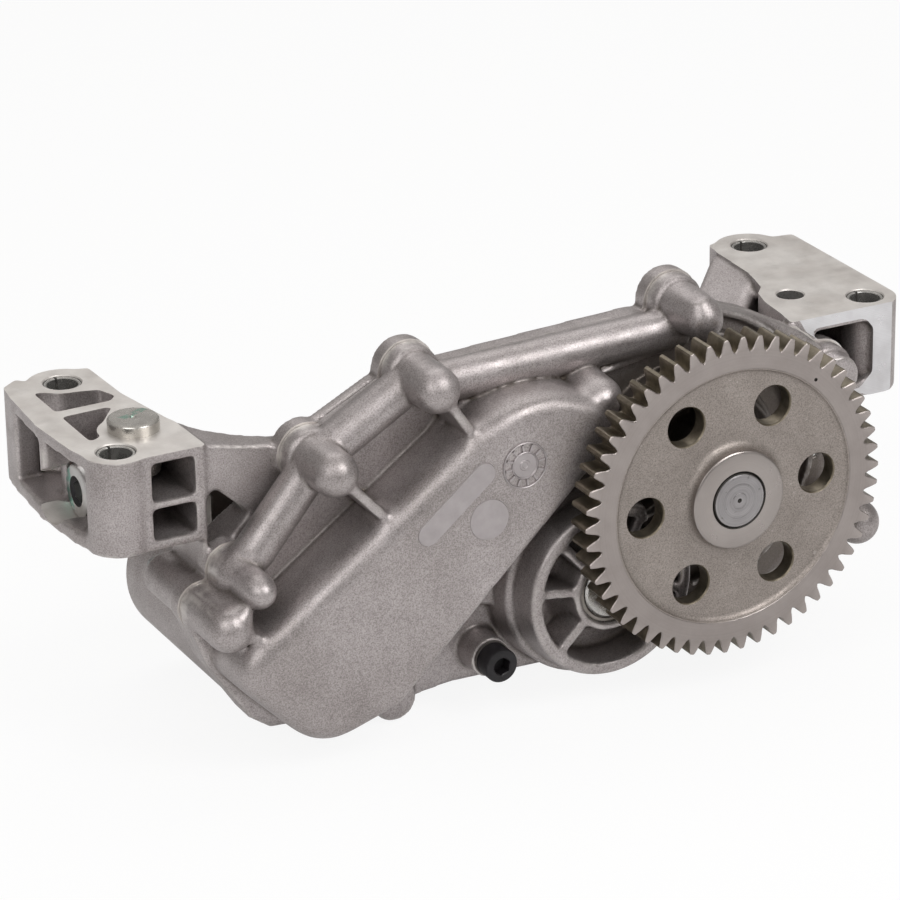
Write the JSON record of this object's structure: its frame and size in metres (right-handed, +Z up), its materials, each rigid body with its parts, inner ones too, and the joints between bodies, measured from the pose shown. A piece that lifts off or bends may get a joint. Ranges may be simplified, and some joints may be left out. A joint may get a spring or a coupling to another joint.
{
  "type": "engine oil pump",
  "caption": "Twin-rotor gear oil pump with a spur drive gear, cast housing and cover, suction duct, relief and safety valves, hung from two machined feet.",
  "frame": {"origin": "midway between the two front mounting holes, on the machined deck plane of the feet", "axes": "+X along the front row of mounting holes towards the drive gear's side, +Y away from the drive gear along the shafts, +Z up out of the deck towards the crankcase"},
  "size_m": [0.4196, 0.1816, 0.1887],
  "materials": {
    "cast_aluminium": "sand cast, fine grain, machined bright on the joint faces and the deck",
    "gear_steel": "warm satin steel, tooth flanks browned",
    "rotor_steel": "hobbed and oiled",
    "shaft_steel": "ground bright, turned rings on the ends",
    "bearing_bronze": "plain bored bronze",
    "thrust_bronze": "flat lapped bronze",
    "bolt_steel": "phosphated, dark grey",
    "dowel_steel": "ground bright",
    "pin_steel": "ground bright, with a turned top",
    "plug_steel": "zinc grey",
    "black_steel": "blackened, half gloss",
    "soft_copper": "annealed copper ring",
    "spring_steel": "oiled spring wire",
    "cap_steel": "pressed sheet, dull grey"
  },
  "bodies": {
    "pump_body": {"rear_housing": "cast_aluminium", "front_cover": "cast_aluminium", "drive_front_bush": "bearing_bronze", "drive_rear_bush": "bearing_bronze", "driven_front_bush": "bearing_bronze", "driven_rear_bush": "bearing_bronze", "thrust_washer": "thrust_bronze", "cover_bolts": "bolt_steel", "cover_dowels": "dowel_steel", "mounting_ring_dowels": "dowel_steel", "locating_pin": "pin_steel", "relief_plug": "plug_steel", "relief_plug_seal": "soft_copper", "relief_spring": "spring_steel", "safety_plug": "black_steel", "safety_plug_seal": "soft_copper", "safety_spring": "spring_steel", "shaft_end_caps": "cap_steel"},
    "drive_train": {"drive_gear": "gear_steel", "gear_key": "bolt_steel", "drive_shaft": "shaft_steel", "drive_rotor": "rotor_steel"},
    "driven_train": {"driven_shaft": "shaft_steel", "driven_rotor": "rotor_steel"},
    "relief_valve": {"relief_piston": "dowel_steel"},
    "safety_valve": {"safety_piston": "dowel_steel"}
  },
  "joints": [
    {"name": "drive_spin", "type": "hinge", "parent": "pump_body", "child": "drive_train", "pos_m": [0.0774, 0, -0.0515], "axis": [0, 1, 0], "continuous": true},
    {"name": "driven_spin", "type": "hinge", "parent": "pump_body", "child": "driven_train", "pos_m": [0.02443, 0, -0.09334], "axis": [0, 1, 0], "continuous": true},
    {"name": "relief_piston_slide", "type": "slide", "parent": "pump_body", "child": "relief_valve", "axis": [-1, 0, 0], "range_m": [0, 0.009], "stiffness_N_per_m": 4000, "springref_m": -0.003, "deforming": ["relief_spring"]},
    {"name": "safety_piston_slide", "type": "slide", "parent": "pump_body", "child": "safety_valve", "axis": [0, -1, 0], "range_m": [0, 0.005], "stiffness_N_per_m": 4000, "springref_m": -0.003, "deforming": ["safety_spring"]}
  ],
  "couplings": [
    {"joint": "driven_spin", "follows": "drive_spin", "ratio": -1}
  ]
}
